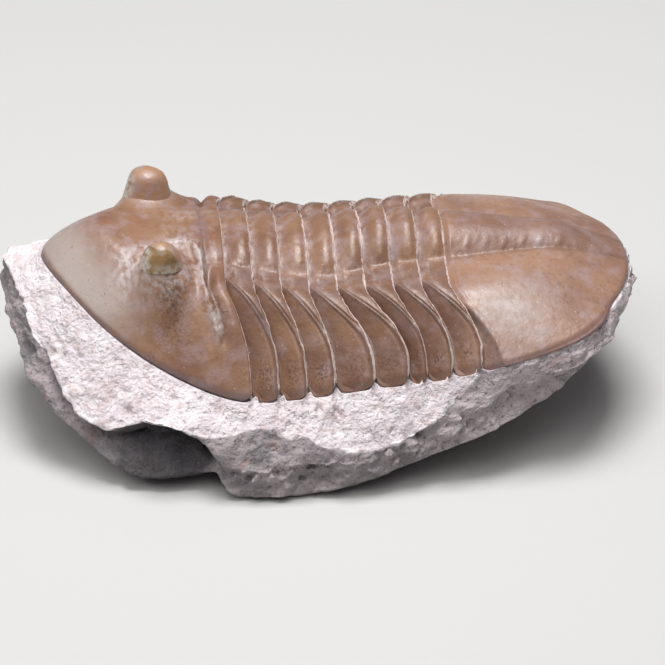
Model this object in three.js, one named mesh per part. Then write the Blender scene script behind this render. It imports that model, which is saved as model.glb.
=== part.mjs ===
// A trilobite fossil on the block of limestone that it was prepared out of.
//
// Millimetres, +Z up, with the block lying on z = 0. The head points along -X and the
// tail along +X, so the animal's left side is -Y. The origin is a point of the flat base.
//
// The shell is a set of plates that lie on one smooth surface, shellHeight(x, y): the
// cephalon, the thoracic segments and the pygidium. Each plate is that surface's skin,
// SHELL thick, so its underside follows the rock's hump at a constant distance.

import * as THREE from "three";
import { mergeVertices } from "three/addons/utils/BufferGeometryUtils.js";

// ---- Driving dimensions: the shell seen from above ----
const HEAD_X = -38.2; // front tip of the cephalon
const OCCIPUT_X = -13.7; // back edge of the cephalon, on the midline
const PYGIDIUM_X = 15.9; // front edge of the pygidium, on the midline
const TAIL_X = 41.4; // rear tip of the pygidium
const HALF_WIDTH = 22.3; // midline to the tips of the segments
const SEGMENTS = 8;
const PITCH = (PYGIDIUM_X - OCCIPUT_X) / SEGMENTS;
const HEAD_POINT = 1.52; // exponent of the head's outline: 1 is a triangle, 2 an ellipse
const TAIL_POINT = 2.15; // the same for the tail
const TIP_SWEEP = 2.6; // how far the tips of the segments trail behind the midline
const LEFT_TIP_SLIP = [0, 0, 0, 0, 1.5, 2.3, 0.9, 0.6, 0.8]; // further slip of each joint's left tip

// ---- Driving dimensions: heights, each a list of [x, value] along the body ----
const SPINE = [
  [-40, 35], [-27, 27.6], [-14, 24.8], [-2, 22.7], [8, 23.1], [17, 23.5], [30, 23.9], [41, 24.3],
];
const SIDE_DROP = [
  [-40, 11.2], [-35.5, 9.9], [-30, 10.2], [-14, 12.4], [0, 9.8], [15, 8.9], [41, 4.2],
]; // midline down to the margin
const AXIS_HALF_WIDTH = [
  [-40, 9], [-28, 8.6], [-14, 7.4], [0, 8], [8, 6.3], [16, 5.9], [25, 4.4], [34, 3.4], [41, 2.5],
];
const AXIS_RISE = [
  [-40, 0], [-30, 0], [-14, 1.8], [0, 3.3], [8, 3.9], [16, 2.9], [25, 1.9], [34, 1.5], [41, 0],
];
const INNER_SHARE = 0.19; // share of the side drop that falls evenly from the furrow outwards
const FLANK_START = [[-22, 0.66], [-6, 0.6], [41, 0.57]]; // share of the half width where the rest begins
const FLANK_POWER = [[-22, 1.37], [-6, 1.5], [41, 1.6]]; // how sharply the rest falls
const RING_STEP = 0.45; // each segment's rear edge stands this far over the next one's front edge

// ---- Driving dimensions: plates and eyes ----
const SHELL = 1.2; // thickness of a plate
const JOINT_GAP = 0.36; // between neighbouring plates
const ROCK_GAP = 0.8; // between the plates and the rock's hump
const EYE_RADIUS = 2.7;
const EYE_GAP = 0.3; // under each eye
const EYES = [
  { name: "left_eye", x: -22.1, y: -10.5, mound: 1.9, height: 2.4 },
  { name: "right_eye", x: -23.2, y: 10.3, mound: 2.7, height: 2.4 },
];
const MOUND_REACH = 2.9; // how far a mound's foot runs out past the eye

// ---- Driving dimensions: the rock, in polar form about a point near its middle ----
const ROCK_CENTRE = new THREE.Vector2(1.5, -1);
// Each row: azimuth in degrees, then the ledge's rim (radius, height), the recess under the
// rim (depth), the waist (radius, height) and the edge of the flat base (radius).
const ROCK = [
  [-173, 42.3, 18.5, 0.0, 43.3, 14.0, 24],
  [-165, 41.3, 14.5, 0.0, 42.4, 10.5, 26],
  [-156, 40.4, 10.4, 0.4, 40.0, 6.8, 29],
  [-148, 38.0, 8.0, 3.0, 38.0, 4.0, 32],
  [-142, 34.4, 9.6, 5.5, 36.2, 2.2, 32],
  [-136, 32.3, 9.6, 5.0, 32.6, 1.0, 30],
  [-130, 30.8, 7.6, 3.0, 30.4, 1.4, 27],
  [-124, 30.8, 5.4, 0.3, 29.9, 1.2, 26.5],
  [-114, 29.1, 4.7, 0.0, 29.0, 1.0, 27.5],
  [-100, 27.2, 4.9, 0.0, 27.1, 1.2, 25],
  [-86, 26.6, 5.6, 0.0, 26.4, 2.4, 22],
  [-72, 26.8, 7.2, 0.2, 26.3, 4.0, 18],
  [-58, 28.9, 9.0, 0.5, 28.2, 6.0, 15],
  [-45, 31.6, 11.6, 1.0, 30.8, 8.4, 13],
  [-30, 37.2, 15.0, 1.4, 34.4, 11.0, 12],
  [-12, 40.0, 18.0, 0.8, 37.4, 13.0, 11],
  [8, 40.6, 18.6, 0.4, 38.0, 13.0, 11],
  [28, 40.0, 16.6, 0.2, 36.6, 10.6, 12],
  [48, 34.6, 12.8, 0.0, 31.6, 7.4, 15],
  [70, 28.8, 10.2, 0.0, 27.4, 5.2, 18],
  [92, 27.4, 9.0, 0.0, 26.2, 4.2, 19],
  [114, 29.6, 8.6, 0.0, 28.0, 3.8, 20],
  [134, 33.8, 9.6, 0.0, 31.8, 4.4, 21],
  [154, 39.4, 14.4, 0.0, 37.2, 6.8, 22],
  [170, 44.9, 20.3, 0.0, 45.2, 15.5, 23],
];
const LEDGE_START = 0.6; // the ledge begins this far outside the shell's margin
const LEDGE_DIP = 0.9; // and this far below it

// ---- Mesh density ----
const HEAD_CELLS = [40, 12]; // round the fan, and from its pole to the margin
const TAIL_CELLS = [32, 10];
const SEGMENT_CELLS = [26, 2]; // across, and from front to back
const ROCK_SECTORS = 90;
const ROCK_HUMP = [0.2, 0.4, 0.6, 0.75, 0.87, 0.96]; // rings under the shell, shares of its margin's radius

// ---- Curves ----
const { clamp, smoothstep, lerp, degToRad } = THREE.MathUtils;

// A smooth curve through [x, value] knots: cubic pieces that share their slope at each knot.
// With a period the last knot joins on to the first.
function curve(knots, x, column = 1, period = 0) {
  const n = knots.length;
  const at = (i) => {
    const turn = period ? Math.floor(i / n) : 0;
    const k = knots[period ? i - turn * n : clamp(i, 0, n - 1)];
    return { x: k[0] + turn * period, v: k[column] };
  };
  const start = knots[0][0];
  const inside = period ? x - period * Math.floor((x - start) / period) : clamp(x, start, knots[n - 1][0]);
  let i = 0;
  while (i < n - (period ? 1 : 2) && inside > at(i + 1).x) i++;
  const [a, b, c, d] = [at(i - 1), at(i), at(i + 1), at(i + 2)];
  const h = c.x - b.x;
  const t = (inside - b.x) / h;
  const slopeB = ((c.v - a.v) / (c.x - a.x)) * h;
  const slopeC = ((d.v - b.v) / (d.x - b.x)) * h;
  const t2 = t * t;
  const t3 = t2 * t;
  return (
    (2 * t3 - 3 * t2 + 1) * b.v + (t3 - 2 * t2 + t) * slopeB + (3 * t2 - 2 * t3) * c.v + (t3 - t2) * slopeC
  );
}

// How far a joint between two plates trails behind its midline point, at lateral place y.
function trail(y) {
  return TIP_SWEEP * smoothstep(Math.abs(y) / HALF_WIDTH, 0.52, 0.92);
}

// x of joint number i (0 is the cephalon's rear edge) at lateral place y.
function jointX(i, y) {
  const slip = y < 0 ? LEFT_TIP_SLIP[i] : 0;
  return OCCIPUT_X + i * PITCH + trail(y) * (1 + slip / TIP_SWEEP);
}

// Where (x, y) lies between the midline, 0, and the shell's margin, 1.
function share(x, y) {
  const across = Math.abs(y) / HALF_WIDTH;
  const ahead = (OCCIPUT_X + trail(y) - x) / (OCCIPUT_X - HEAD_X);
  const behind = (x - PYGIDIUM_X - trail(y)) / (TAIL_X - PYGIDIUM_X);
  if (ahead > 0) return (ahead ** HEAD_POINT + across ** HEAD_POINT) ** (1 / HEAD_POINT);
  if (behind > 0) return (behind ** TAIL_POINT + across ** TAIL_POINT) ** (1 / TAIL_POINT);
  return across;
}

// The shell's broad shape: the spine's curve, less the fall of the sides.
function bodyHeight(x, y) {
  const rho = share(x, y);
  const furrow = clamp(curve(AXIS_HALF_WIDTH, x) / HALF_WIDTH, 0.05, 0.5);
  const inner = Math.max(0, (rho - furrow) / (1 - furrow));
  const start = curve(FLANK_START, x);
  const flank = Math.max(0, (rho - start) / (1 - start)) ** curve(FLANK_POWER, x);
  return curve(SPINE, x) - curve(SIDE_DROP, x) * (INNER_SHARE * inner + (1 - INNER_SHARE) * flank);
}

// The smooth surface that every plate follows: the broad shape plus the raised axis lobe.
function shellHeight(x, y) {
  const across = Math.abs(y) / curve(AXIS_HALF_WIDTH, x);
  return bodyHeight(x, y) + curve(AXIS_RISE, x) * Math.max(0, 1 - across ** 2.2) ** 0.8;
}

// The cephalon's surface: the shell's, raised to a flat-topped mound under each eye.
function headHeight(x, y) {
  return EYES.reduce((z, eye) => {
    const away = Math.hypot(x - eye.x, y - eye.y);
    const pull = 1 - smoothstep(away, EYE_RADIUS, EYE_RADIUS + MOUND_REACH);
    return lerp(z, moundTop(eye), pull);
  }, shellHeight(x, y));
}

function moundTop(eye) {
  return shellHeight(eye.x, eye.y) + eye.mound;
}

// The point that lies depth under the surface z = height(x, y), along its normal.
function below(height, x, y, depth) {
  const step = 0.2;
  const normal = new THREE.Vector3(
    height(x - step, y) - height(x + step, y),
    height(x, y - step) - height(x, y + step),
    2 * step,
  ).normalize();
  return new THREE.Vector3(x, y, height(x, y)).addScaledVector(normal, -depth);
}

// ---- Closed meshes ----
const area = new THREE.Triangle();

// A closed BufferGeometry from triangles of points, turned to face outwards.
function closed(triangles) {
  const whole = triangles.filter((t) => area.set(...t).getArea() > 1e-6);
  const volume = whole.reduce((v, [a, b, c]) => v + a.dot(b.clone().cross(c)), 0);
  const facing = volume > 0 ? whole : whole.map(([a, b, c]) => [a, c, b]);
  return mergeVertices(new THREE.BufferGeometry().setFromPoints(facing.flat()), 1e-4);
}

// Two triangles for each cell between neighbouring rows of points.
function skin(rows) {
  const cells = [];
  for (let j = 0; j + 1 < rows.length; j++)
    for (let i = 0; i + 1 < rows[j].length; i++) {
      const [a, b, c, d] = [rows[j][i], rows[j][i + 1], rows[j + 1][i + 1], rows[j + 1][i]];
      cells.push([a, b, c], [a, c, d]);
    }
  return cells;
}

// A plate: the surface point(u, v) for u and v from 0 to 1, its underside, and the rim between.
// point gives [x, y]; height gives z.
function plate([across, along], point, height) {
  const grid = (depth) =>
    Array.from({ length: along + 1 }, (_, j) =>
      Array.from({ length: across + 1 }, (_, i) => {
        const [x, y] = point(i / across, j / along);
        return below(height(j / along), x, y, depth);
      }),
    );
  const top = grid(0);
  const under = grid(SHELL);
  const turned = (t) => [t[0], t[2], t[1]];
  const wall = (a, b) => skin([a, b]);
  const side = (rows, i) => rows.map((row) => row[i]);
  return closed([
    ...skin(top),
    ...skin(under).map(turned),
    ...wall(top[0], under[0]).map(turned),
    ...wall(top[along], under[along]),
    ...wall(side(top, 0), side(under, 0)),
    ...wall(side(top, across), side(under, across)).map(turned),
  ]);
}

// ---- Materials ----
const calcite = (color) => new THREE.MeshStandardMaterial({ color, roughness: 0.42, metalness: 0 });
const SHELL_MATERIAL = calcite("#a98575");
const SEGMENT_MATERIAL = calcite("#a37c69");
const EYE_MATERIAL = new THREE.MeshStandardMaterial({ color: "#97795f", roughness: 0.38, metalness: 0 });
const ROCK_MATERIAL = new THREE.MeshStandardMaterial({ color: "#d9d0d2", roughness: 0.95, metalness: 0 });

function piece(name, geometry, material) {
  const mesh = new THREE.Mesh(geometry, material);
  mesh.name = name;
  return mesh;
}

// ---- Pieces ----
// The cephalon and the pygidium are fans: u turns about the middle of the joint edge,
// v runs from there to the margin.
function fanPoint(u, v, point) {
  const turn = Math.PI * (u - 0.5);
  return {
    out: v * Math.cos(turn) ** (2 / point),
    y: v * Math.sign(turn) * Math.abs(Math.sin(turn)) ** (2 / point) * HALF_WIDTH,
  };
}

function cephalon() {
  const point = (u, v) => {
    const { out, y } = fanPoint(u, v, HEAD_POINT);
    return [jointX(0, y) - JOINT_GAP / 2 - out * (OCCIPUT_X - HEAD_X - JOINT_GAP / 2), y];
  };
  return piece("cephalon", plate(HEAD_CELLS, point, () => headHeight), SHELL_MATERIAL);
}

function pygidium() {
  const point = (u, v) => {
    const { out, y } = fanPoint(u, v, TAIL_POINT);
    return [jointX(SEGMENTS, y) + JOINT_GAP / 2 + out * (TAIL_X - PYGIDIUM_X - JOINT_GAP / 2), y];
  };
  return piece("pygidium", plate(TAIL_CELLS, point, () => shellHeight), SHELL_MATERIAL);
}

// Segment number i: a band between two joints that rises a little towards its rear edge.
function segment(i) {
  const point = (u, v) => {
    const y = (2 * u - 1) * HALF_WIDTH;
    return [lerp(jointX(i, y) + JOINT_GAP / 2, jointX(i + 1, y) - JOINT_GAP / 2, v), y];
  };
  const height = (v) => (x, y) => shellHeight(x, y) + RING_STEP * (v - 0.5);
  return piece("thoracic_segment_" + (i + 1), plate(SEGMENT_CELLS, point, height), SEGMENT_MATERIAL);
}

// An eye: a blunt dome that stands on its mound.
function eyeDome(eye) {
  const sides = 20;
  const profile = [[0, 0], [0.86, 0], [0.9, 0.2], [0.82, 0.5], [0.62, 0.78], [0.34, 0.95], [0, 1]];
  const lathe = new THREE.LatheGeometry(
    profile.map(([r, h]) => new THREE.Vector2(r * EYE_RADIUS, h * eye.height)),
    sides,
  ).rotateX(Math.PI / 2);
  lathe.deleteAttribute("normal");
  lathe.deleteAttribute("uv");
  const mesh = piece(eye.name, mergeVertices(lathe, 1e-4), EYE_MATERIAL);
  mesh.position.set(eye.x, eye.y, moundTop(eye) + EYE_GAP);
  return mesh;
}

// Distance from the rock's centre to the shell's margin at an azimuth, by halving an interval.
function marginRadius(direction) {
  let [near, far] = [0, 2 * HALF_WIDTH + OCCIPUT_X - HEAD_X];
  for (let step = 0; step < 30; step++) {
    const middle = (near + far) / 2;
    const at = direction.clone().multiplyScalar(middle).add(ROCK_CENTRE);
    if (share(at.x, at.y) < 1) near = middle;
    else far = middle;
  }
  return near;
}

// The rock at one azimuth, from the top of the hump under the shell to the middle of the base.
// The hump follows the broad shape, so it stops short of the axis lobe.
function rockProfile(azimuth) {
  const direction = new THREE.Vector2(Math.cos(degToRad(azimuth)), Math.sin(degToRad(azimuth)));
  const at = (radius, z) => {
    const over = direction.clone().multiplyScalar(radius).add(ROCK_CENTRE);
    return new THREE.Vector3(over.x, over.y, z);
  };
  const row = [1, 2, 3, 4, 5, 6].map((column) => curve(ROCK, azimuth, column, 360));
  const [rimR, rimZ, recess, waistR, waistZ, baseR] = row;
  const margin = marginRadius(direction);
  const depth = SHELL + ROCK_GAP;
  const hump = [...ROCK_HUMP, 1].map((s) => {
    const over = at(margin * s, 0);
    return below(bodyHeight, over.x, over.y, depth);
  });
  const edge = at(margin, 0);
  const ledgeR = margin + LEDGE_START;
  const ledgeZ = shellHeight(edge.x, edge.y) - LEDGE_DIP;
  return [
    below(bodyHeight, ROCK_CENTRE.x, ROCK_CENTRE.y, depth),
    ...hump,
    at(ledgeR, ledgeZ),
    at(lerp(ledgeR, rimR, 0.5), lerp(ledgeZ, rimZ, 0.5) - 0.3),
    at(rimR, rimZ),
    at(lerp(rimR, waistR, 0.5) - recess, lerp(rimZ, waistZ, 0.5 - recess * 0.045)),
    at(waistR, waistZ),
    at(lerp(waistR, baseR, 0.5), waistZ * 0.35),
    at(baseR, 0),
    at(0, 0),
  ];
}

function matrix() {
  const azimuth = (i) => (360 * (i % ROCK_SECTORS)) / ROCK_SECTORS;
  const profiles = Array.from({ length: ROCK_SECTORS + 1 }, (_, i) => rockProfile(azimuth(i)));
  return piece("matrix", closed(skin(profiles)), ROCK_MATERIAL);
}

// ---- Assembly ----
const fossil = new THREE.Group();
const segments = Array.from({ length: SEGMENTS }, (_, i) => segment(i));
fossil.add(matrix(), cephalon(), ...EYES.map(eyeDome), ...segments, pygidium());

export default fossil;
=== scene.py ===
# %% [markdown]
# # A trilobite on its block of limestone
#
# The animal's shell is made of plates: a head shield, eight jointed bands across the
# body and a tail shield. They all lie on one smooth, saddle-shaped surface. So this
# lesson first writes that surface as a function of x and y, and then makes each plate
# by laying a fine grid on it and pushing the grid's points in and out along the
# surface's normal. The rock round the shell is one closed surface, made by carrying a
# profile round a vertical axis and roughening it with noise. The fossil could be
# sculpted instead, but formulas keep the eight bands alike, and one number changes all.
#
# Lengths inside the shape functions are in millimetres, because a fossil's details
# are. They become metres where the points go into a mesh.

# %% Load the frame
import bpy
import numpy as np
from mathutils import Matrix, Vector


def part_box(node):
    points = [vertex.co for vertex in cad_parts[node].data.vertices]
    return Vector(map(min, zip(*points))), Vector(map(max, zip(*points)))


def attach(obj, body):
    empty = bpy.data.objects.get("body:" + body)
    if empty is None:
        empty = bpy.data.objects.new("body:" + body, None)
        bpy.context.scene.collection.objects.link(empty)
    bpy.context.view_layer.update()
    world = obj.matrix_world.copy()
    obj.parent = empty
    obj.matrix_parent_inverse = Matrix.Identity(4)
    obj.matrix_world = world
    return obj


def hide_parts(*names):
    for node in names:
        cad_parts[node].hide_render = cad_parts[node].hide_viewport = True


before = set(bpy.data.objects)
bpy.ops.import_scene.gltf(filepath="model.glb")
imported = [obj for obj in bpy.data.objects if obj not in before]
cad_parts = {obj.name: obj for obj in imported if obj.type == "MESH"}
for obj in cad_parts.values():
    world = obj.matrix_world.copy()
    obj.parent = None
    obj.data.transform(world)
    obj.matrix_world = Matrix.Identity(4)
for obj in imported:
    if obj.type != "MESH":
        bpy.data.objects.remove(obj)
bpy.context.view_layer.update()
MM = 0.001
print("CAD nodes:", ", ".join(sorted(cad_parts)))

# %% [markdown]
# ## Where the plates meet
#
# The frame's boxes give the ends and the width of the shell. A joint between two plates
# is a line across the body that trails backwards near the tips, and on the animal's
# left some plates have slipped a little further back. Typed-in sizes could drift away
# from the frame, so the main ones are read from it.

# %% Measure the shell
SEGMENTS = sorted(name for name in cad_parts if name.startswith("thoracic_segment_"))


def box_mm(node):
    """Lowest and highest corner of a CAD node, in millimetres."""
    low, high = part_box(node)
    return np.array(low) / MM, np.array(high) / MM


HEAD_X = box_mm("cephalon")[0][0]
TAIL_X = box_mm("pygidium")[1][0]
HALF_WIDTH = box_mm("pygidium")[1][1]
OCCIPUT_X = -13.7  # the first joint, on the midline
PYGIDIUM_X = 15.9  # the last joint
PITCH = (PYGIDIUM_X - OCCIPUT_X) / len(SEGMENTS)
TIP_SWEEP = 2.6  # how far a joint trails back at its tips
LEFT_TIP_SLIP = np.array([0, 0, 0, 0, 1.5, 2.3, 0.9, 0.6, 0.8])  # further slip of each joint's left tip
print(f"shell {TAIL_X - HEAD_X:.1f} mm long, {2 * HALF_WIDTH:.1f} mm wide, joints {PITCH:.2f} mm apart")

# %% [markdown]
# ## Small tools for shapes
#
# Three soft steps do most of the drawing: a ramp between two values, a bell round one
# value, and a smooth curve through a few given knots. Curve objects could be
# sampled for the same purpose, but functions work on whole arrays of points at once.

# %% Ramps, bells and curves


def ramp(start, end, x):
    """0 before start, 1 after end and 3t^2 - 2t^3 between, where t is the share of the way."""
    t = np.clip((x - start) / (end - start), 0, 1)
    return t * t * (3 - 2 * t)


def bell(x, centre, width):
    """1 at the centre, falling as exp(-(distance / width)^2)."""
    return np.exp(-(((x - centre) / width) ** 2))


def mix(a, b, part):
    """a where part is 0, b where it is 1."""
    return a + (b - a) * part


def curve(knots, x, period=None):
    """Cubic pieces through (x, value) knots that share their slope at each knot.

    The slope at a knot is that of the line between its two neighbours. With a period
    the last knot joins on to the first.
    """
    at, value = np.array(knots, float).T
    if period:
        at = np.concatenate([at[-2:] - period, at, at[:2] + period])
        value = np.concatenate([value[-2:], value, value[:2]])
        x = at[2] + np.mod(x - at[2], period)
    slope = np.gradient(value) / np.gradient(at)
    x = np.clip(x, at[0], at[-1])
    i = np.clip(np.searchsorted(at, x, side="right") - 1, 0, len(at) - 2)
    h = at[i + 1] - at[i]
    t = (x - at[i]) / h
    return (
        (2 * t**3 - 3 * t**2 + 1) * value[i]
        + (t**3 - 2 * t**2 + t) * h * slope[i]
        + (3 * t**2 - 2 * t**3) * value[i + 1]
        + (t**3 - t**2) * h * slope[i + 1]
    )


print("half way along a ramp:", ramp(0, 1, 0.5), "- one width from a bell's middle:", round(bell(1, 0, 1), 3))

# %% [markdown]
# ## The surface that all the plates follow
#
# Its height is the curve of the spine, less the fall of the sides, plus the raised lobe
# along the axis. The fall depends on how far a point lies from the midline to the
# shell's margin, and `share` measures that as a number from 0 to 1.
#
# A subdivided cage could give such a shape too. A height function was chosen because
# every plate can be laid on it, and then neighbours meet however fine their grids are.

# %% Place across the shell
HEAD_POINT, TAIL_POINT = 1.52, 2.15  # exponents of the outline: 1 is a triangle, 2 an ellipse
TRAIL_START, TRAIL_END = 0.52, 0.92  # share of the half width between which a joint trails back


def trail(y):
    """How far a joint trails behind its midline point at lateral place y."""
    return TIP_SWEEP * ramp(TRAIL_START, TRAIL_END, np.abs(y) / HALF_WIDTH)


def joint_x(i, y):
    """x of joint i at lateral place y; i may be a fraction, to lie between two joints."""
    slip = np.interp(i, np.arange(len(LEFT_TIP_SLIP)), LEFT_TIP_SLIP) * (y < 0)
    return OCCIPUT_X + i * PITCH + trail(y) * (1 + slip / TIP_SWEEP)


def share(x, y):
    """0 on the midline and 1 at the margin.

    Beside the thorax it is |y| over the half width. Ahead and behind it is the nth
    root of (distance along / length)^n + (|y| / half width)^n.
    """
    across = np.abs(y) / HALF_WIDTH
    ahead = np.clip((OCCIPUT_X + trail(y) - x) / (OCCIPUT_X - HEAD_X), 0, None)
    behind = np.clip((x - PYGIDIUM_X - trail(y)) / (TAIL_X - PYGIDIUM_X), 0, None)
    head = (ahead**HEAD_POINT + across**HEAD_POINT) ** (1 / HEAD_POINT)
    tail = (behind**TAIL_POINT + across**TAIL_POINT) ** (1 / TAIL_POINT)
    return np.where(ahead > 0, head, np.where(behind > 0, tail, across))


print("share at the front of the head:", round(float(share(HEAD_X, 0.0)), 3))

# %% Height of the surface
# each knot is an x and the value there, in millimetres
SPINE = [(-40, 35), (-27, 27.6), (-14, 24.8), (-2, 22.7), (8, 23.1), (17, 23.5), (30, 23.9), (41, 24.3)]
SIDE_DROP = [(-40, 11.2), (-35.5, 9.9), (-30, 10.2), (-14, 12.4), (0, 9.8), (15, 8.9), (41, 4.2)]
AXIS_HALF_WIDTH = [
    (-40, 9), (-28, 8.6), (-14, 7.4), (0, 8), (8, 6.3), (16, 5.9), (25, 4.4), (34, 3.3), (41, 2),
]
AXIS_RISE = [
    (-40, 0), (-30, 0), (-14, 1.8), (0, 3.3), (8, 3.9), (16, 2.9), (25, 1.9), (32, 1.4), (37, 0.3), (41, 0),
]
INNER_SHARE = 0.19  # share of the fall that is even, from the axis out
FLANK_START = [(-22, 0.66), (-6, 0.6), (41, 0.57)]  # where the rest of the fall begins
FLANK_POWER = [(-22, 1.37), (-6, 1.5), (41, 1.6)]
LOBE_POWER = 2.6  # 2 would make the lobe's section a parabola; more makes it squarer
FURROW_RANGE = 0.05, 0.5  # least and greatest half width of the axis, as shares of the shell's
FURROW_SOFTNESS, FLANK_SOFTNESS = 0.004, 0.01  # 0 would leave a crease


def body_height(x, y):
    """The spine's curve less the fall of the sides.

    Part of the fall is even from the axis out. The rest follows p, the share of the way
    from the flank's start to the margin, as a power of (p + sqrt(p^2 + softness)) / 2,
    which is nearly p beyond the start and fades to nothing before it.
    """
    rho = share(x, y)
    furrow = np.clip(curve(AXIS_HALF_WIDTH, x) / HALF_WIDTH, *FURROW_RANGE)
    inner = np.clip((rho - furrow) / (1 - furrow), 0, None)
    start = curve(FLANK_START, x)
    past = (rho - start) / (1 - start)
    flank = ((past + np.sqrt(past**2 + FLANK_SOFTNESS)) / 2) ** curve(FLANK_POWER, x)
    return curve(SPINE, x) - curve(SIDE_DROP, x) * mix(flank, inner, INNER_SHARE)


def shell_height(x, y):
    """The body's height plus the lobe along the axis.

    The lobe's section s is 1 - |y / half width of the axis|^2.6. It is bent softly to
    zero beyond its edge as (s + sqrt(s^2 + softness)) / 2.
    """
    section = 1 - (np.abs(y) / curve(AXIS_HALF_WIDTH, x)) ** LOBE_POWER
    return body_height(x, y) + curve(AXIS_RISE, x) * (section + np.sqrt(section**2 + FURROW_SOFTNESS)) / 2


print(f"the surface stands {float(shell_height(0.0, 0.0)):.1f} mm high in the middle of the thorax")

# %% Points off the surface
SLOPE_STEP = 0.15  # millimetres to each side of a point where its slope is measured


def lifted(height, x, y, by):
    """Points of z = height(x, y), moved by that many millimetres along the normal, which is
    (-slope along x, -slope along y, 1) made one unit long."""
    step = SLOPE_STEP
    slope_x = (height(x + step, y) - height(x - step, y)) / (2 * step)
    slope_y = (height(x, y + step) - height(x, y - step)) / (2 * step)
    normal = np.stack([-slope_x, -slope_y, np.ones_like(slope_x)], -1)
    normal /= np.linalg.norm(normal, axis=-1, keepdims=True)
    return np.stack([x, y, height(x, y)], -1) + normal * np.asarray(by)[..., None]


def plan(x, y):
    """The points' places seen from above, which the noise on a plate reads."""
    return np.stack([x, y, 0 * x], -1)


print("1 mm off the surface at the middle:", lifted(shell_height, 0.0, 0.0, 1.0).round(2))

# %% [markdown]
# ## Noise
#
# Rock and worn shell are uneven at every size. Lattice noise gives each corner of a grid
# a fixed random number and blends between corners. Adding it up at several sizes makes a
# rough surface, and the seed keeps it the same on each run. Displace modifiers could do
# this. Noise in arrays was chosen because relief and colour can then share its numbers.

# %% Lattice noise
PRIMES = 73856093, 19349663, 83492791, 2654435761  # one for each coordinate and one for the seed
SCRAMBLERS = 1274126177, 2246822519  # odd numbers whose bits spread well when multiplied
BITS_32, BITS_24 = 0xFFFFFFFF, 0xFFFFFF


def lattice(corner, seed):
    """A fixed number from -1 to 1 for each whole-number corner, by scrambling its integers."""
    a, b, c = (corner[..., k].astype(np.int64) for k in range(3))
    h = (a * PRIMES[0]) ^ (b * PRIMES[1]) ^ (c * PRIMES[2]) ^ (seed * PRIMES[3])
    h = (h ^ (h >> 13)) * SCRAMBLERS[0] & BITS_32
    h = (h ^ (h >> 16)) * SCRAMBLERS[1] & BITS_32
    return ((h ^ (h >> 15)) & BITS_24) / (BITS_24 >> 1) - 1


def noise(points, size, seed):
    """Smooth noise from -1 to 1 whose bumps are about size millimetres across."""
    p = points / size
    cell = np.floor(p)
    t = p - cell
    t = t * t * (3 - 2 * t)
    total = 0
    for corner in np.ndindex(2, 2, 2):
        weight = np.prod(np.where(corner, t, 1 - t), axis=-1)
        total = total + weight * lattice(cell + corner, seed)
    return total


def rough(points, size, octaves, seed):
    """Noise at size, size / 2, size / 4 and so on, each half as strong as the last."""
    return sum(noise(points, size / 2**k, seed + k) / 2**k for k in range(octaves))


sample = np.indices((12, 12, 12)).reshape(3, -1).T * 1.7
print("spread of noise:", noise(sample, 3, 1).std().round(2))
print("spread of rough noise:", rough(sample, 3, 4, 1).std().round(2))

# %% [markdown]
# ## Broken faces and pits
#
# Limestone breaks along flat faces that meet at edges, and a stylus leaves small pits.
# Smooth noise can't show either. Both come from points scattered one to a cell: the
# distance to the nearest one gives pits, and a tilted plane through each gives faces.

# %% Chips and facets
FACET_SHARPNESS = 14  # how abruptly one facet gives way to the next
FACET_STEP = 0.4  # how far apart in height neighbouring facets lie


def chips(points, size, seed):
    """Distance to the nearest of a set of scattered points, in units of size: small in a pit."""
    p = points / size
    cell = np.floor(p)
    nearest = np.full(points.shape[:-1], 9.0)
    for offset in np.ndindex(3, 3, 3):
        corner = cell + np.array(offset) - 1
        spot = corner + 0.5 + 0.5 * np.stack([lattice(corner, seed + k) for k in range(3)], -1)
        nearest = np.minimum(nearest, np.linalg.norm(p - spot, axis=-1))
    return nearest


def facets(points, size, seed):
    """Nearly flat faces: the mean of (p - spot) . tilt + step over scattered spots, each with
    its own tilt and step, weighted by exp(-sharpness distance^2) so that the nearest decides."""
    p = points / size
    cell = np.floor(p)
    total = weight = 0
    for offset in np.ndindex(3, 3, 3):
        corner = cell + np.array(offset) - 1
        spot, tilt = (np.stack([lattice(corner, seed + n + k) for k in range(3)], -1) for n in (0, 3))
        away = p - corner - 0.5 - 0.5 * spot
        near = np.exp(-FACET_SHARPNESS * (away**2).sum(axis=-1))
        total = total + near * ((away * tilt).sum(axis=-1) + FACET_STEP * tilt[..., 0])
        weight = weight + near
    return total / weight


print("spread of facets:", facets(sample, 3, 1).std().round(2))

# %% [markdown]
# ## From grids to meshes
#
# A grid of points becomes a mesh when each four neighbours make a face. Where a grid
# closes to a point, its row names one vertex over and over, and those faces turn into
# triangles. Each vertex also carries a few numbers, such as how chalky it is, which the
# materials read as attributes.

# %% Mesh helpers


def cells(index):
    """The four-cornered faces of a grid of vertex numbers."""
    a, b, c, d = index[:-1, :-1], index[:-1, 1:], index[1:, 1:], index[1:, :-1]
    return np.stack([a, b, c, d], -1).reshape(-1, 4)


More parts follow.
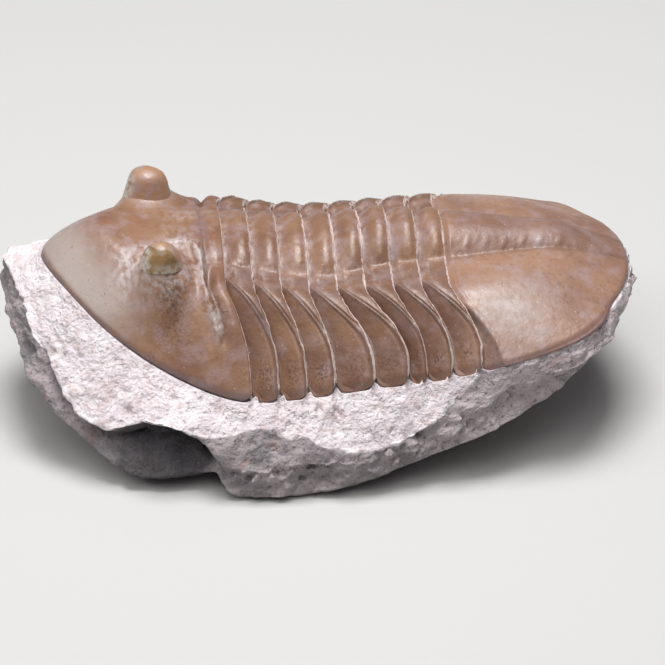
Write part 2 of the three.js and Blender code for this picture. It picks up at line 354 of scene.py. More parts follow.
def make_piece(name, points, quads, marks, material):
    """A smooth mesh object from points in millimetres, standing for the CAD node of its name.

    A face that names one vertex twice running becomes a triangle, and a point that no
    face names is left out. The marks are numbers for each point, by name.
    """
    twice = quads == np.roll(quads, -1, axis=1)
    whole = quads[~twice.any(axis=1)]
    thin = [np.delete(quads[twice[:, k]], k, axis=1) for k in range(4)]
    used = np.unique(np.concatenate([whole.ravel()] + [t.ravel() for t in thin]))
    faces = [f for part in [whole, *thin] for f in np.searchsorted(used, part).tolist()]
    mesh = bpy.data.meshes.new(name)
    mesh.from_pydata((points[used] * MM).tolist(), [], faces)
    for mark, values in marks.items():
        layer = mesh.attributes.new(mark, "FLOAT", "POINT")
        layer.data.foreach_set("value", np.ravel(values)[used].astype(np.float32))
    mesh.shade_smooth()
    mesh.materials.append(material)
    piece = bpy.data.objects.new(name, mesh)
    bpy.context.scene.collection.objects.link(piece)
    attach(piece, "root")
    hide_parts(name)
    print(f"{name}: {len(used)} vertices, {len(faces)} faces")
    return piece


print("a grid of 3 x 3 points has", len(cells(np.arange(9).reshape(3, 3))), "faces")

# %% Plates from two grids


def sewn(top, under):
    """Two grids of one size with a strip of faces sewn round their edges.

    Returns the points and the faces, whose outside is above the top grid where its
    columns run anticlockwise of its rows.
    """
    rows, columns = top.shape[:2]
    index = np.arange(rows * columns).reshape(rows, columns)
    if np.ptp(top[0], axis=0).max() < 1e-9:  # the first row is all one point
        index[0] = index[0, 0]
    below = index + rows * columns
    walls = [
        cells(np.stack([below[0], index[0]])),
        cells(np.stack([index[-1], below[-1]])),
        cells(np.stack([index[:, 0], below[:, 0]])),
        cells(np.stack([below[:, -1], index[:, -1]])),
    ]
    points = np.concatenate([top.reshape(-1, 3), under.reshape(-1, 3)])
    quads = np.concatenate([cells(index), cells(below)[:, ::-1], *walls])
    flat = (quads == np.roll(quads, -1, axis=1)).sum(axis=1) > 1
    return points, quads[~flat]


def make_plate(name, top, under, marks, material):
    """A closed plate between two grids, whose marks are the same above and below."""
    points, quads = sewn(top, under)
    both = {mark: np.tile(value.ravel(), 2) for mark, value in marks.items()}
    return make_piece(name, points, quads, both, material)


SHELL = 1.25  # thickness of a plate
print("plates are", SHELL, "mm thick")

# %% [markdown]
# ## Node materials
#
# Every material here is a stack: a base colour, then tints laid over it, each as strongly
# as a pattern or a mark on the mesh says. Patterns read Object coordinates, in metres, so
# a pattern whose grains are s millimetres across needs a scale of 1000 / s.
#
# Such patterns run through the solid, as stains do in stone. A painted image would need
# an unwrapped mesh, and would show seams where it was cut.

# %% Colours and nodes


def linear(hex_colour):
    """An sRGB hex colour as linear RGBA: ((c + 0.055) / 1.055)^2.4 above 0.04045, else c / 12.92."""
    c = np.array([int(hex_colour[i : i + 2], 16) for i in (1, 3, 5)]) / 255
    return (*np.where(c > 0.04045, ((c + 0.055) / 1.055) ** 2.4, c / 12.92), 1.0)


def add(tree, kind, *values, out=None, **settings):
    """Adds a node to a tree and gives back the output of that name, or the first in use.

    The values go to the inputs in use, in order; None skips one. A setting in small
    letters is the node's own property. One with a capital is an input, with _ for a
    space. A value is a number, a hex colour or another node's output.
    """
    node = tree.nodes.new("ShaderNode" + kind)
    for key, value in settings.items():
        if key[0].islower():
            setattr(node, key, value)
    sockets = [socket for socket in node.inputs if socket.enabled]
    pairs = list(zip(sockets, values))
    pairs += [(node.inputs[key.replace("_", " ")], v) for key, v in settings.items() if key[0].isupper()]
    for socket, value in pairs:
        if isinstance(value, bpy.types.NodeSocket):
            tree.links.new(value, socket)
        elif value is not None:
            socket.default_value = linear(value) if isinstance(value, str) else value
    return node.outputs[out] if out else next((socket for socket in node.outputs if socket.enabled), None)


def new_material(name):
    """An empty node material, its tree and its Object coordinates."""
    material = bpy.data.materials.new(name)
    material.use_nodes = True
    material.node_tree.nodes.clear()
    return material, material.node_tree, add(material.node_tree, "TexCoord", out="Object")


print("mid grey, #808080, is", round(float(linear("#808080")[0]), 3), "in linear light")

# %% Patterns, layers and finish


def blotches(tree, place, size, start, end, amount=1.0, detail=3.0):
    """Noise whose grains are size millimetres across, cut softly between two of its levels."""
    grains = add(tree, "TexNoise", place, Scale=1 / (size * MM), Detail=detail)
    return add(tree, "MapRange", grains, start, end, 0.0, amount, interpolation_type="SMOOTHSTEP")


def layered(tree, colour, *layers):
    """Tints laid one over another. A layer is a colour and the amounts to multiply together."""
    for tint, amount, *others in layers:
        for other in others:
            amount = add(tree, "Math", amount, other, operation="MULTIPLY")
        colour = add(tree, "Mix", amount, colour, tint, data_type="RGBA")
    return colour


def finish_surface(tree, colour, roughness, bumps, **settings):
    """A principled surface with a stack of bumps, each a height and its depth in millimetres."""
    normal = None
    for height, depth in bumps:
        normal = add(tree, "Bump", Height=height, Distance=depth * MM, Strength=1.0, Normal=normal)
    shader = add(
        tree, "BsdfPrincipled", Base_Color=colour, Roughness=roughness, Normal=normal, **settings
    )
    add(tree, "OutputMaterial", Surface=shader)


print("a grain of 1 mm needs a scale of", 1 / (1 * MM))

# %% [markdown]
# ## Calcite shell
#
# The shell is calcite, stained caramel by iron and left semi-gloss by fine air abrasion.
# Three things break the colour up: broad warm and dusky patches, a lilac-grey veil where
# the shell is thin, and scattered dark and bright specks. Marks on the mesh say where it
# is pale, deep brown, bruised purple, clouded with fine scratches, or chalky with rock
# left in a joint. Some marks also carry painted light: painted highlights on the ridges,
# the crest and the tail's domes, and painted shade and shadow in furrows, under lips, on
# the inner sides and along the margin.

# %% The shell material


def calcite_shell(name, warm, dusky, gloss):
    """Calcite fossil shell: IOR 1.56 and semi-gloss, so it holds soft highlights; its chalk is matt."""
    material, tree, place = new_material(name)
    pale, deep, bruise, cloud, spots, chalky = (
        add(tree, "Attribute", attribute_name=mark, out="Fac")
        for mark in ("pale", "deep", "bruise", "cloud", "spots", "chalk")
    )
    crumbs = add(tree, "TexNoise", place, Scale=1 / (0.6 * MM), Detail=4.0)
    chalk = add(tree, "Math", chalky, crumbs, operation="ADD")
    chalk = add(tree, "MapRange", chalk, 0.92, 1.12, 0.0, 1.0, interpolation_type="SMOOTHSTEP")
    streaks = add(tree, "Mapping", place, Scale=(1.0, 0.5, 0.8))
    colour = layered(
        tree,
        warm,
        # broad dusky patches, and the lilac-grey veil of thin shell
        (dusky, blotches(tree, place, 9, 0.38, 0.66, 0.9, 4.0)),
        ("#9c8788", blotches(tree, place, 2.6, 0.45, 0.71, 0.52, 6.0)),
        # iron stain, in blots and as a fine mottle
        ("#7d563f", blotches(tree, place, 4.2, 0.52, 0.78, 0.45, 4.0)),
        ("#6a4c3e", blotches(tree, place, 0.8, 0.53, 0.72, 0.4, 5.0)),
        # what the marks on the mesh ask for. Besides the shell's own colour, pale, cloud and
        # chalk carry painted highlights, and deep and bruise carry painted shade and shadow
        ("#a29691", pale),
        ("#4f3122", deep),
        ("#735e61", bruise, blotches(tree, place, 1.4, 0.25, 0.6, 1.0, 4.0)),
        ("#b9aeae", cloud, blotches(tree, streaks, 0.7, 0.36, 0.62, 0.95, 5.0)),
        # dark specks all over, clusters of them where marked, and a few bright ones
        ("#4a3226", blotches(tree, place, 0.42, 0.70, 0.78, 0.5, 1.0)),
        ("#4b3427", spots, blotches(tree, place, 0.34, 0.46, 0.62, 0.85, 3.0)),
        ("#cbb8aa", blotches(tree, place, 0.30, 0.81, 0.87, 0.5, 0.0)),
        # rock left in the joints, over everything, and painted highlights along the crest
        ("#cdbab4", chalk),
    )
    worn = blotches(tree, place, 1.5, 0.3, 0.7, 0.14, 4.0)
    worn = add(tree, "Math", worn, gloss, operation="ADD")
    worn = add(tree, "Math", cloud, 0.14, worn, operation="MULTIPLY_ADD")
    roughness = add(tree, "Mix", chalk, worn, 0.85, data_type="FLOAT")
    relief = add(tree, "TexNoise", place, Scale=1 / (0.9 * MM), Detail=4.0)
    fine = add(tree, "TexNoise", place, Scale=1 / (0.2 * MM), Detail=2.0)
    finish_surface(tree, colour, roughness, [(relief, 0.085), (fine, 0.02), (chalk, 0.08)], IOR=1.56)
    return material


HEAD_SHELL = calcite_shell("calcite_shell_head", "#8d684f", "#7a5542", 0.34)
THORAX_SHELL = calcite_shell("calcite_shell_thorax", "#8b6851", "#795847", 0.34)
TAIL_SHELL = calcite_shell("calcite_shell_tail", "#96725d", "#846354", 0.36)
print("calcite shell has", len(HEAD_SHELL.node_tree.nodes), "nodes")

# %% [markdown]
# ## The eight bands of the thorax
#
# Each band has three parts across: a rounded ring over the axis, a flat inner side, and
# an outer side that bends down. A sharp ridge crosses the outer side from the front edge
# to the rear. In front of it lies a smooth facet, which slid under the band ahead when
# the animal rolled up. The band's front edge is tucked under its neighbour's rear edge
# here too, so no gap shows between them.
#
# The bands could be modelled one by one. One function makes all eight, because in the
# animal they are repeats of one plan: only the slip and the stain on the left differ.
#
# In what follows v is the place from a band's front edge, 0, to its rear, 1. The place
# across is q, from 0 on the midline to 1 at the tips.

# %% Relief of a band
TUCK = 0.14  # share of a band's length that lies under the band ahead
RIDGE = [  # q, and the v at which the ridge crosses it
    (0, 0.02), (0.43, 0.02), (0.5, 0.09), (0.6, 0.37), (0.67, 0.59), (0.74, 0.77), (0.82, 0.87), (1, 0.9),
]
FACET_DEPTH, FACET_CLIMB = 1.35, 1.6  # depth of a facet's front edge, and its climb to the ridge
RIGHT_FACET = 0.55  # depth of the right side's facets, as a share of the left's
LIP_DROP, TIP_DROP = 0.36, 0.5  # how far the rear edge and the tips bend down


def ring_relief(v):
    """The ring: it climbs from a deep front edge, swells near the rear and dips again."""
    return -0.55 + 0.95 * ramp(0, 0.6, v) - 0.22 * ramp(0.75, 1, v) + 0.08 * bell(v, 0.68, 0.12)


def inner_relief(v, q, furrow):
    """The inner side: a rise behind the joint, less a shallow groove that runs out and back."""
    rise = -0.5 + 0.5 * ramp(-0.02, 0.3, v) + 0.2 * v
    return rise - 0.16 * bell(v, 0.3 + 0.5 * (q - furrow), 0.12) * ramp(furrow, furrow + 0.08, q)


def outer_relief(v, q, ridge, left):
    """The outer side: a facet that climbs as (share of the way to the ridge)^1.15, and an
    arched strip behind the ridge. The ridge is a narrow bell, with a narrow groove behind."""
    before = np.clip(v / ridge, 0, 1)
    facet = -FACET_DEPTH + FACET_CLIMB * before**1.15 - 0.1 * bell(before, 0.93, 0.08)
    behind = np.clip((v - ridge) / (1 - ridge), 0, 1)
    strip = 0.25 + 0.16 * np.sin(np.pi * behind) - 0.05 * behind
    facet *= np.where(left, 1, RIGHT_FACET)
    sharp = ramp(0.42, 0.5, q) * (1 - ramp(0.72, 0.8, q))
    crease = (0.3 * bell(v, ridge, 0.03) - 0.2 * bell(v, ridge + 0.09, 0.045)) * sharp
    return np.where(v < ridge, facet, strip) + crease


def band_relief(x, y, v):
    """Millimetres to lift a band's surface: its three parts, blended across, less the bent edges."""
    q = np.abs(y) / HALF_WIDTH
    furrow = curve(AXIS_HALF_WIDTH, x) / HALF_WIDTH
    outer = outer_relief(v, q, curve(RIDGE, q), y < 0)
    sides = mix(inner_relief(v, q, furrow), outer, ramp(0.43, 0.55, q))
    lift = mix(sides, ring_relief(v), 1 - ramp(furrow - 0.06, furrow + 0.03, q))
    lift -= LIP_DROP * ramp(0.9, 1.0, v) ** 2
    return lift - TIP_DROP * ramp(0.95, 1, q) ** 2


print("facets on the left lie", FACET_DEPTH, "mm deep at their front edge")

# %% [markdown]
# ## What the colour of a band follows
#
# On the real shell the facets are browner than the ridges, the front edges are bruised
# purple, the grooves hold a pale film and the joints hold rock. Light is painted in as
# well: a painted highlight along each ridge, painted shadow at the front of each facet
# under the band ahead, and painted shade on the inner sides. All of these follow the
# relief, so they are worked out from the same v and q and stored on the vertices. A
# painted layer would slide off the ridges as soon as one of them was moved.

# %% Marks on a band
LEFT_STAIN = [0, 0, 0, 0.08, 0.18, 0.26, 0.14, 0.1]  # extra brown on each band's left facet


def band_marks(i, x, y, v, own):
    """What band i's material reads, from 0 to 1, with noise read at its own places.

    It has a painted highlight along the ridge, a stained facet with painted shadow at its
    front under the band ahead, painted shade on the inner side and behind the ridge, a
    bruised front edge, a clouded groove, dark spots near the tips and chalk in the joints.
    """
    q = np.abs(y) / HALF_WIDTH
    furrow = curve(AXIS_HALF_WIDTH, x) / HALF_WIDTH
    ridge = curve(RIDGE, q)
    facet = ramp(0.5, 0.62, q) * (1 - ramp(-0.1, 0.0, v - ridge))
    inner = ramp(furrow, furrow + 0.06, q) * (1 - ramp(0.45, 0.55, q))
    behind_facet = ramp(0.45, 0.55, q) * (1 - facet)
    patchy = 0.5 + 0.5 * noise(own, 2.5, 8)
    stain = (0.08 + LEFT_STAIN[i] * (y < 0)) * (0.4 + 1.2 * patchy)
    # painted shadow at the front of each facet, where the band ahead's rear lip overhangs it
    painted_lip_shadow = 0.36 * (1 - ramp(0.0, 0.5, v)) * (1 - ramp(0.82, 0.96, q))
    purple = np.maximum(0.6 * (1 - ramp(0.1, 0.4, v)), 0.35 * (q > furrow))
    groove = 0.24 * bell(v, 0.3 + 0.6 * (q - furrow), 0.15) * ramp(furrow, furrow + 0.08, q)
    front_edge = 0.35 * (1 - ramp(0.05, 0.35, v)) * (1 - ramp(0.4, 0.5, q))
    joints = np.maximum(ramp(0.9, 0.96, v), 1 - ramp(0.0, 0.05, v))
    return {
        # painted highlight along each ridge
        "pale": 0.4 * bell(v, ridge + 0.01, 0.03) * ramp(0.45, 0.52, q) * (1 - ramp(0.74, 0.84, q)),
        # iron stain on the facets, with painted shadow under the lip and painted shade on the inner sides and
        # behind the ridge
        "deep": facet * (stain + painted_lip_shadow) + 0.4 * np.maximum(inner, behind_facet),
        "bruise": purple * (1 - ramp(0.4, 0.6, q)) * patchy,
        "cloud": np.maximum(groove * (1 - facet), front_edge),
        "spots": facet * bell(q, 0.92, 0.05) * bell(v, 0.5, 0.28),
        "chalk": mix(0.75, 0.6, ramp(3, 9, y)) * joints,
    }


print("most stained: band", 1 + LEFT_STAIN.index(max(LEFT_STAIN)))

# %% Build the bands
BAND_ROWS, BAND_COLUMNS = 84, 380
CORNER = 0.9  # how far a band's four corners are drawn in
TUCK_DROP = 0.4  # how far the tucked front edge dips under the band ahead
JOINT_WAVE, CRUMB = 0.12, 0.2  # waver of the rear edge, and height of the rock left on it
UNEVEN, FURROW_CREASES = 0.09, 0.07  # depth of the broad unevenness, and of the creases beside a ring


def band_grid(i):
    """x, y and v of band i's points, laid between joints i and i + 1.

    Rows crowd towards both edges as a cosine does, and the tips are drawn in as the
    fifth power of the distance from the band's middle.
    """
    v = mix(-TUCK, 1, 0.5 - 0.5 * np.cos(np.pi * np.linspace(0, 1, BAND_ROWS)))[:, None]
    u = np.linspace(1, -1, BAND_COLUMNS)[None, :]
    y = u * (HALF_WIDTH - CORNER * np.clip(np.abs(2 * v - 1), 0, 1) ** 5)
    v = np.broadcast_to(v, y.shape)
    return mix(joint_x(i, y), joint_x(i + 1, y), v), y, v


def make_band(i):
    """Band i: its relief, unevenness, crumbs of rock on the rear edge, and creased furrows."""
    x, y, v = band_grid(i)
    place = plan(x, y)
    own = place + i * 50  # so that no two bands share their noise
    x = x + JOINT_WAVE * ramp(0.7, 1, v) * noise(place, 1.1, 3)
    lift = band_relief(x, y, np.clip(v, 0, 1)) - TUCK_DROP * ramp(0, -TUCK, v)
    lift += UNEVEN * rough(own, 4, 4, 11)
    crumbs = ramp(0.9, 0.95, v) * (0.5 + 0.5 * noise(place, 0.5, 5))
    lift += CRUMB * ramp(0.4, 0.8, crumbs)
    beside_ring = bell(np.abs(y) / HALF_WIDTH, curve(AXIS_HALF_WIDTH, x) / HALF_WIDTH, 0.04)
    lift += FURROW_CREASES * beside_ring * rough(own, 0.9, 3, 13)
    top = lifted(shell_height, x, y, lift)
    under = lifted(shell_height, x, y, np.full_like(x, -SHELL) - 0.3 * (v < 0))
    return make_plate(SEGMENTS[i], top, under, band_marks(i, x, y, v, own), THORAX_SHELL)


for number in range(len(SEGMENTS)):
    make_band(number)

# %% [markdown]
# ## The head shield
#
# The head and tail shields are half discs, so their grids are fans: one parameter turns
# about the middle of the joint edge and the other runs out to the margin. Raising the
# cosine and sine of the turn to 2 / n gives the outline, a superellipse of exponent n.
#
# Each eye stands on a mound, which is steep at the top and runs out below like a volcano.
# A square grid would leave a jagged margin. A fan follows it, and its rows run along it.

# %% A fan-shaped grid


def fan(turns, steps, exponent):
    """Distance along the body and lateral place, each as a share, over a half disc."""
    turn = np.pi * (np.linspace(0, 1, turns)[None, :] - 0.5)
    out = np.linspace(0, 1, steps)[:, None] ** 0.9
    along = out * np.cos(turn) ** (2 / exponent)
    across = out * np.sign(turn) * np.abs(np.sin(turn)) ** (2 / exponent)
    return along, across


print("a fan's corners, across:", fan(3, 2, HEAD_POINT)[1][-1].round(2))

# %% Where the eyes and the crests are
# mound: how far a mound's top stands over the shell. shoulder, reach: radius of that top, and
# of the foot. height, radius: the knob's. blunt: how square it is. flare: how far its foot spreads
EYES = {
    "left_eye": dict(
        x=-22.1, y=-10.5, mound=2.3, shoulder=2.15, reach=5.6, height=2.4, radius=1.85, blunt=2.6, flare=0.55
    ),
    "right_eye": dict(
        x=-23.2, y=10.3, mound=1.8, shoulder=2.5, reach=7.0, height=3.3, radius=1.9, blunt=8.0, flare=0.95
    ),
}
# the crest on each side, as x and |y|: round the inner side of the eye, then out and back
CREST = [
    (-24.6, 5.8), (-22.2, 4.8), (-19.6, 4.3), (-17.7, 4.6), (-16.9, 6.6), (-16.9, 9.2),
    (-16.8, 11.5), (-16.2, 14), (-15.1, 16.9), (-14.5, 18),
]
REAR_FURROW = [(0, 2.2), (0.38, 2.25), (0.63, 2.5), (0.8, 2.85), (1, 3)]  # q, and mm ahead of the joint


def near_path(path, x, y):
    """Distance from each point to the line through a path's corners, and its place along it, 0 to 1."""
    nearest, place = np.full(np.shape(x), 99.0), np.zeros(np.shape(x))
    for k, (a, b) in enumerate(zip(np.array(path[:-1]), np.array(path[1:]))):
        step = b - a
        t = np.clip(((x - a[0]) * step[0] + (y - a[1]) * step[1]) / (step @ step), 0, 1)
        distance = np.hypot(x - a[0] - t * step[0], y - a[1] - t * step[1])
        closer = distance < nearest
        nearest, place = np.where(closer, distance, nearest), np.where(closer, k + t, place)
    return nearest, place / (len(path) - 1)


def away_from(eye, x, y):
    """Distance from the middle of an eye, seen from above."""
    return np.hypot(x - eye["x"], y - eye["y"])


def mound_top(eye):
    """Height of the top of an eye's mound."""
    return float(shell_height(np.array(eye["x"]), np.array(eye["y"]))) + eye["mound"]


print("mound tops at", [round(mound_top(eye), 1) for eye in EYES.values()], "mm")

# %% Height and relief of the head
RIGHT_CREST = 0.15  # the right crest is worn to this share of the left's height
CHEEK_HOLLOW = 0.3  # depth of the hollow in each cheek


def head_height(x, y):
    """The shell's surface, drawn up to the top of each mound.

    The draw is the square of a share that is 1 at the mound's shoulder and 0 at its foot.
    """
    z = shell_height(x, y)
    for eye in EYES.values():
        near = 1 - (away_from(eye, x, y) - eye["shoulder"]) / (eye["reach"] - eye["shoulder"])
        z = mix(z, mound_top(eye), np.clip(near, 0, 1) ** 2)
    return z


def head_relief(x, y):
    """A furrow and a rim along the rear edge, the crest on each side and the hollow in each
    cheek: bells of the distance from the joint, from the crest and from the hollow's middle."""
    q = np.abs(y) / HALF_WIDTH
    ahead = joint_x(0, y) - x
    furrow = curve(REAR_FURROW, q)
    cheek = ramp(0.36, 0.5, q) * (1 - ramp(0.74, 0.85, q))
    lift = (-0.85 * bell(ahead, furrow, 0.6) + 0.25 * bell(ahead, 1.1, 0.9)) * cheek
    lift += (0.14 * bell(ahead, 1.1, 0.8) - 0.2 * bell(ahead, 2.5, 0.4)) * (1 - ramp(0.3, 0.4, q))
    off, run = near_path(CREST, x, np.abs(y))
    crest = 0.7 * bell(off, 0, 0.5) - 0.16 * bell(off, 1.2, 0.6)
    crest = crest * (1 - ramp(0.9, 1, run)) * (0.3 + 0.7 * ramp(0.3, 0.6, run))
    lift += crest * np.where(y < 0, 1, RIGHT_CREST)
    lift -= CHEEK_HOLLOW * bell(x, -20.3, 2.2) * bell(np.abs(y), 14.8, 2.0)
    return lift


print(f"lift where the crest crosses the left cheek: {float(head_relief(-16.2, -14.0)):.2f} mm")

# %% Marks on the head


def head_marks(x, y):
    """What the head's material reads: a pale front, partly the shell's own colour and partly
    painted reflection, painted shade in the rear furrow, a dark patch on each cheek, a
    bruised margin edged with painted shadow, a clouded ring and veil by the left eye,
    painted highlights along the left crest, painted light on the mound round the right eye
    and a chalky joint."""
    left, right = EYES["left_eye"], EYES["right_eye"]
    rho, q = share(x, y), np.abs(y) / HALF_WIDTH
    ahead = joint_x(0, y) - x
    cheek = ramp(0.4, 0.55, q) * (1 - ramp(0.74, 0.86, q))
    # the pale front: partly the shell's own paler colour, partly a painted reflection of the overhead lamp on
    # the dome
    front = x - 0.55 * np.abs(y) + 1.2 * noise(plan(x, y), 5, 25)
    front = 0.85 * ramp(-28.5, -37.5, front) * (1 - ramp(10, 17, np.abs(y))) * (1 - ramp(0.96, 1, rho))
    # painted shade in the rear border furrow
    painted_furrow_shade = 0.45 * bell(ahead, curve(REAR_FURROW, q) - 0.2, 0.7) * cheek
    smoky = bell(x, -20.8, 1.9) * bell(np.abs(y), 14.6, 1.7)
    # painted highlights along the left crest, as whitish streaks in chalk and cloud
    off, run = near_path(CREST, x, -y)
    painted_crest_highlight = bell(off, 0, 0.5) * (1 - ramp(0.9, 1, run)) * (0.4 + 0.6 * ramp(0.4, 0.7, run))
    veil = bell(np.hypot((x - left["x"] + 4.2) / 2.1, (y - left["y"] - 2.2) / 3.0), 0, 1)
    veil = np.maximum(veil, 0.5 * bell(away_from(left, x, y), 3.0, 0.8 + 0.7 * ramp(0, 2, x - left["x"])))
    glade = bell(x, -19.0, 2.5) * bell(np.abs(y), 3.0, 2.0)
    crest = 0.75 * bell(off, 0, 0.8) * (1 - ramp(0.9, 1, run))
    return {
        # painted light on the mound round the right eye, to match the lit eye
        "pale": np.maximum(front, 0.3 * bell(away_from(right, x, y), 2.8, 1.3)),
        "deep": np.maximum(painted_furrow_shade, 0.48 * smoky),
        # the margin: partly its own dark purple-grey, partly painted shadow where it meets the rock
        "bruise": np.maximum(
            ramp(0.965, 1.0, rho) * 0.85, 0.5 * bell(ahead, 2.7, 0.8) * (1 - ramp(0.3, 0.6, q))
        ),
        "cloud": np.clip(veil + crest + 0.4 * glade, 0, 0.9),
        "spots": 0.75 * bell(x, -20.8, 2.2) * bell(np.abs(y), 14.8, 2.2),
        "chalk": np.maximum(0.75 * (1 - ramp(0.0, 0.25, ahead)), 0.42 * painted_crest_highlight),
    }


print("marks on the head:", ", ".join(head_marks(np.zeros(1), np.zeros(1))))

# %% Build the head
HEAD_TURNS, HEAD_STEPS = 340, 136
GENAL_ROUNDING = 0.25  # how far the rear corners of the head shield are drawn in
HEAD_UNEVEN, SKIRT_ROUGHNESS = 0.09, 0.16  # depth of the broad unevenness, and round the left eye
HEAD_REAR_DROP, MARGIN_DROP = 0.3, 0.35  # how far the rear edge and the margin bend down


def make_head():
    """The head shield, rough in a ring round the left eye, with its edges bent down."""
    along, across = fan(HEAD_TURNS, HEAD_STEPS, HEAD_POINT)
    y = across * HALF_WIDTH
    x = joint_x(0, y) - along * (OCCIPUT_X - HEAD_X)
    drawn_in = GENAL_ROUNDING / HALF_WIDTH * ramp(0.9, 1, np.abs(across)) * bell(joint_x(0, y) - x, 0, 0.9)
    y = y * (1 - drawn_in)
    place = plan(x, y)
    lift = head_relief(x, y) + HEAD_UNEVEN * rough(place, 7, 4, 21)
    skirt = bell(away_from(EYES["left_eye"], x, y), 3.4, 1.5)
    lift += SKIRT_ROUGHNESS * skirt * rough(place, 1.1, 3, 31)
    rear = (1 - ramp(0, 0.3, joint_x(0, y) - x)) ** 2
    lift -= HEAD_REAR_DROP * rear + MARGIN_DROP * ramp(0.97, 1, share(x, y)) ** 2
    top = lifted(head_height, x, y, lift)
    under = lifted(head_height, x, y, np.full_like(x, -SHELL))
    return make_plate("cephalon", top, under, head_marks(x, y), HEAD_SHELL)


make_head()

# %% [markdown]
# ## The tail shield
#
# The tail shield is many bands grown into one plate, and faint rings along its axis
# still show them. Its front corners have the same facet and sharp ridge as the bands.
# It could be made as more bands, but the joints would show. It is the head's kind of fan,
# laid the other way on the same surface, so that it carries on from the last band.

# %% Relief of the tail
RING_SPACING, RING_RISE = 2.4, 0.11
RING_SLANT = 0.4  # how far the rings lean forwards, per millimetre out from the midline


def rib_place(q):
    """Distance behind the joint, in millimetres, of the ridge that bounds the front facet."""
    return 0.25 + 2.9 * np.clip((q - 0.66) / 0.34, 0, None) ** 1.3


def tail_relief(x, y):
    """Rings beside the axis, and the facet, ridge and groove at the front corners.

    A ring is ((1 + cosine of its place in the spacing) / 2)^3. The facet climbs to the
    ridge as (share of the way)^1.6, and everything ends in an even lift further back.
    """
    q = np.abs(y) / HALF_WIDTH
    behind = x - joint_x(len(SEGMENTS), y)
    axis = curve(AXIS_HALF_WIDTH, x)
    rings = (0.5 + 0.5 * np.cos(2 * np.pi * (x - PYGIDIUM_X + RING_SLANT * np.abs(y)) / RING_SPACING)) ** 3
    rings = RING_RISE * rings * bell(np.abs(y) / axis, 0.82, 0.16) * (1 - ramp(33, 38, x))
    ridge = rib_place(q)
    facet = -0.85 + 1.1 * np.clip(behind / ridge, 0, 1) ** 1.6
    edge = -0.4 + 0.5 * ramp(0, 0.9, behind) - 0.16 * bell(behind, 1.3, 0.5) * ramp(0.35, 0.45, q)
    outer = np.where(behind < ridge, facet, 0.25) - 0.14 * bell(behind, ridge + 0.38, 0.16)
    outer += 0.16 * bell(behind, ridge, 0.12)
    front = mix(edge, outer, ramp(0.64, 0.74, q))
    return rings + mix(front, 0.1, ramp(0.5, 3.5, behind - ridge))


print(f"the tail's ridge ends {rib_place(1.0):.2f} mm behind the joint")

# %% Marks on the tail


def tail_marks(x, y):
    """What the tail's material reads: a painted highlight on the dome of each side, a browner
    axis and facet, painted shade in the axial furrows, a bruised margin edged with painted
    shadow, clouded furrows and a chalky joint."""
    rho, q = share(x, y), np.abs(y) / HALF_WIDTH
    behind = x - joint_x(len(SEGMENTS), y)
    axis = curve(AXIS_HALF_WIDTH, x)
    facet = ramp(0.66, 0.74, q) * (1 - ramp(-0.4, 0.0, behind - rib_place(q)))
    # painted shade along the axial furrows
    furrow = 0.3 * bell(np.abs(y), 1.1 * axis, 0.5)
    # where the lamp's highlight falls on each side, painted as a highlight by pale and cloud
    dome = bell(x, 23.5, 5) * bell(np.abs(y), 16, 4)
    return {
        "pale": 0.45 * dome,
        "deep": 0.12 * (1 - ramp(0.9, 1.2, np.abs(y) / axis)) + np.maximum(0.5 * facet, furrow),
        # the margin: partly its own dark colour, partly painted shadow where it meets the rock
        "bruise": np.maximum(0.6 * ramp(0.975, 1.0, rho), 0.1 * (1 - ramp(0.9, 1.1, np.abs(y) / axis))),
        "cloud": 0.35 * dome + 0.05 * bell(np.abs(y), 0.8 * axis, 1.5) * (1 - ramp(36, 40, x)),
        "spots": np.zeros_like(x),
        "chalk": 0.75 * (1 - ramp(0.0, 0.15, behind)),
    }


print("marks on the tail:", ", ".join(tail_marks(np.zeros(1), np.zeros(1))))

# %% Build the tail
TAIL_TURNS, TAIL_STEPS = 340, 136
TAIL_TUCK = 0.5  # length that lies under the last band
TAIL_UNEVEN, TAIL_CREASES = 0.07, 0.06  # depth of the broad unevenness, and of the creases by the axis
TAIL_MARGIN_DROP, TAIL_TUCK_DROP = 0.3, 0.4  # how far the margin and the tucked edge bend down


def make_tail():
    """The tail shield. Its fan opens the other way to the head's, so its columns are turned round."""
    along, across = fan(TAIL_TURNS, TAIL_STEPS, TAIL_POINT)
    y = across * HALF_WIDTH
    x = joint_x(len(SEGMENTS), y) - TAIL_TUCK + along * (TAIL_X - PYGIDIUM_X + TAIL_TUCK)
    place = plan(x, y)
    behind = x - joint_x(len(SEGMENTS), y)
    lift = tail_relief(x, y) + TAIL_UNEVEN * rough(place, 7, 4, 41)
    lift += TAIL_CREASES * bell(np.abs(y), curve(AXIS_HALF_WIDTH, x), 0.7) * rough(place, 0.9, 3, 43)
    lift -= TAIL_MARGIN_DROP * ramp(0.97, 1, share(x, y)) ** 2 + TAIL_TUCK_DROP * ramp(0, -TAIL_TUCK, behind)
    top = lifted(shell_height, x, y, lift)[:, ::-1]
    under = lifted(shell_height, x, y, np.full_like(x, -SHELL))[:, ::-1]
    marks = {mark: value[:, ::-1] for mark, value in tail_marks(x, y).items()}
    return make_plate("pygidium", top, under, marks, TAIL_SHELL)


make_tail()

# %% [markdown]
# ## The eyes
#
# Each eye is a blunt knob that carries on the slope of its mound. The lens surface wraps
# its outer side, olive brown and glossier than the shell. The lid over it is shell.
#
# The knob overhangs its mound, which a height function can't do, so it isn't part of the
# head's grid. It is a profile turned about an upright axis, and sunk into the mound.

# %% The lens material


